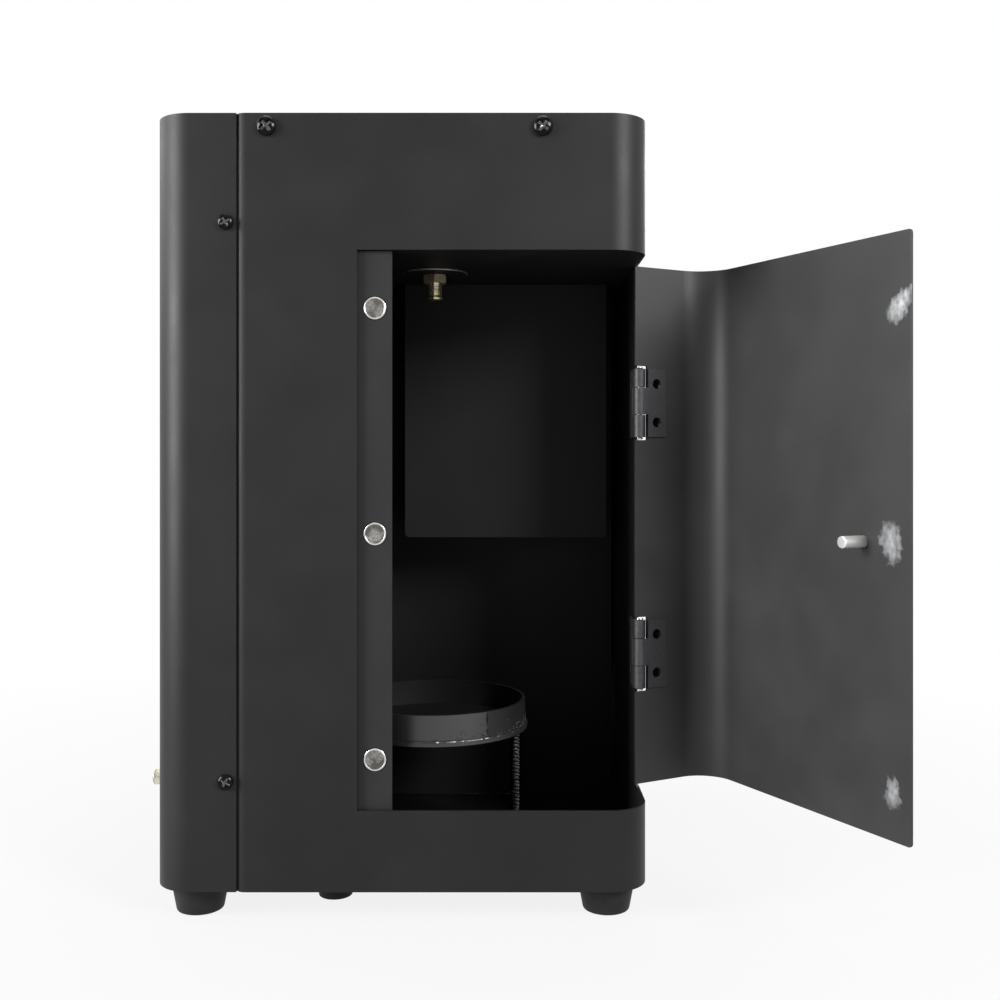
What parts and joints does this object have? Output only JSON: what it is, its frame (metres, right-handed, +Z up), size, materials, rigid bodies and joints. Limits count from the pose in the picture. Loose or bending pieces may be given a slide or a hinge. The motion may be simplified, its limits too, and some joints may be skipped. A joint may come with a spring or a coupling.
{
  "type": "stage flame machine",
  "caption": "Free-standing sheet-steel stage flame machine with a corner door standing open on its fuel can chamber, a sprung can cup, and a flame outlet collar on top.",
  "frame": {"origin": "on the floor, midway between the four feet, which is the cabinet's own centre in plan", "axes": "+Z up, -Y towards the front that the door opening is in, +X towards the door's hinge side"},
  "size_m": [0.3868, 0.3111, 0.437],
  "materials": {
    "black_paint": "satin fine-texture powder coat",
    "black_rubber": "matte",
    "black_plastic": "moulded, fine grain",
    "smoked_acrylic": "polished",
    "brass": "machined",
    "copper": "drawn tube",
    "nickel": "plated",
    "zinc_steel": "zinc plated",
    "dark_steel": "black oxide",
    "stainless": "spun",
    "ceramic": "glazed ceramic",
    "circuit_board": "solder mask",
    "potting": "cast resin",
    "spring_steel": "drawn wire"
  },
  "bodies": {
    "cabinet": {"main_shell": "black_paint", "control_cover": "black_paint", "top_plate": "black_paint", "base_plate": "black_paint", "foot_front_left": "black_rubber", "foot_front_right": "black_rubber", "foot_back_left": "black_rubber", "foot_back_right": "black_rubber", "top_screw_left": "dark_steel", "top_screw_right": "dark_steel", "cover_screw_upper": "dark_steel", "cover_screw_lower": "dark_steel", "chamber_liner": "black_paint", "chamber_ceiling": "black_paint", "magnet_upper": "nickel", "magnet_middle": "nickel", "magnet_lower": "nickel", "igniter_cover": "black_paint", "ignition_transformer": "potting", "can_fitting": "brass", "fitting_washer": "black_paint", "fitting_seal": "black_rubber", "fitting_nut": "brass", "valve_body": "brass", "valve_coil": "black_plastic", "fuel_inlet_pipe": "copper", "fuel_outlet_pipe": "copper", "outlet_collar": "stainless", "flame_jet": "brass", "electrode_left": "ceramic", "electrode_right": "ceramic", "guide_rod_left": "zinc_steel", "guide_rod_right": "zinc_steel", "cup_spring_left": "spring_steel", "cup_spring_right": "spring_steel", "tip_switch_body": "black_plastic", "display_window": "smoked_acrylic", "control_board": "circuit_board", "dmx_in_socket": "nickel", "dmx_out_socket": "nickel", "power_inlet": "black_plastic", "earth_terminal": "brass", "power_supply": "zinc_steel", "upper_hinge_frame_leaf": "dark_steel", "upper_hinge_pin": "zinc_steel", "lower_hinge_frame_leaf": "dark_steel", "lower_hinge_pin": "zinc_steel"},
    "door": {"door_panel": "black_paint", "door_knob": "nickel", "upper_hinge_door_leaf": "dark_steel", "lower_hinge_door_leaf": "dark_steel"},
    "cup": {"fuel_cup": "black_paint"},
    "plunger": {"tip_plunger": "black_rubber"},
    "up_key": {"button_up": "black_plastic"},
    "down_key": {"button_down": "black_plastic"},
    "menu_key": {"button_menu": "black_plastic"},
    "enter_key": {"button_enter": "black_plastic"},
    "rocker": {"power_rocker": "black_plastic"}
  },
  "joints": [
    {"name": "door_hinge", "type": "hinge", "parent": "cabinet", "child": "door", "pos_m": [0.129, -0.076, 0.20225], "axis": [0, 0, 1], "range_deg": [-118, 50]},
    {"name": "cup_slide", "type": "slide", "parent": "cabinet", "child": "cup", "axis": [0, 0, 1], "range_m": [-0.025, 0], "stiffness_N_per_m": 600, "springref_m": 0.015, "deforming": ["cup_spring_left", "cup_spring_right"]},
    {"name": "plunger_slide", "type": "slide", "parent": "cabinet", "child": "plunger", "axis": [0, 0, 1], "range_m": [-0.006, 0], "stiffness_N_per_m": 60, "springref_m": -0.008},
    {"name": "up_press", "type": "slide", "parent": "cabinet", "child": "up_key", "axis": [1, 0, 0], "range_m": [0, 0.0012], "stiffness_N_per_m": 500},
    {"name": "down_press", "type": "slide", "parent": "cabinet", "child": "down_key", "axis": [1, 0, 0], "range_m": [0, 0.0012], "stiffness_N_per_m": 500},
    {"name": "menu_press", "type": "slide", "parent": "cabinet", "child": "menu_key", "axis": [1, 0, 0], "range_m": [0, 0.0012], "stiffness_N_per_m": 500},
    {"name": "enter_press", "type": "slide", "parent": "cabinet", "child": "enter_key", "axis": [1, 0, 0], "range_m": [0, 0.0012], "stiffness_N_per_m": 500},
    {"name": "rocker_tilt", "type": "hinge", "parent": "cabinet", "child": "rocker", "pos_m": [-0.1299, 0, 0.1276], "axis": [0, 1, 0], "range_deg": [0, 20]}
  ]
}
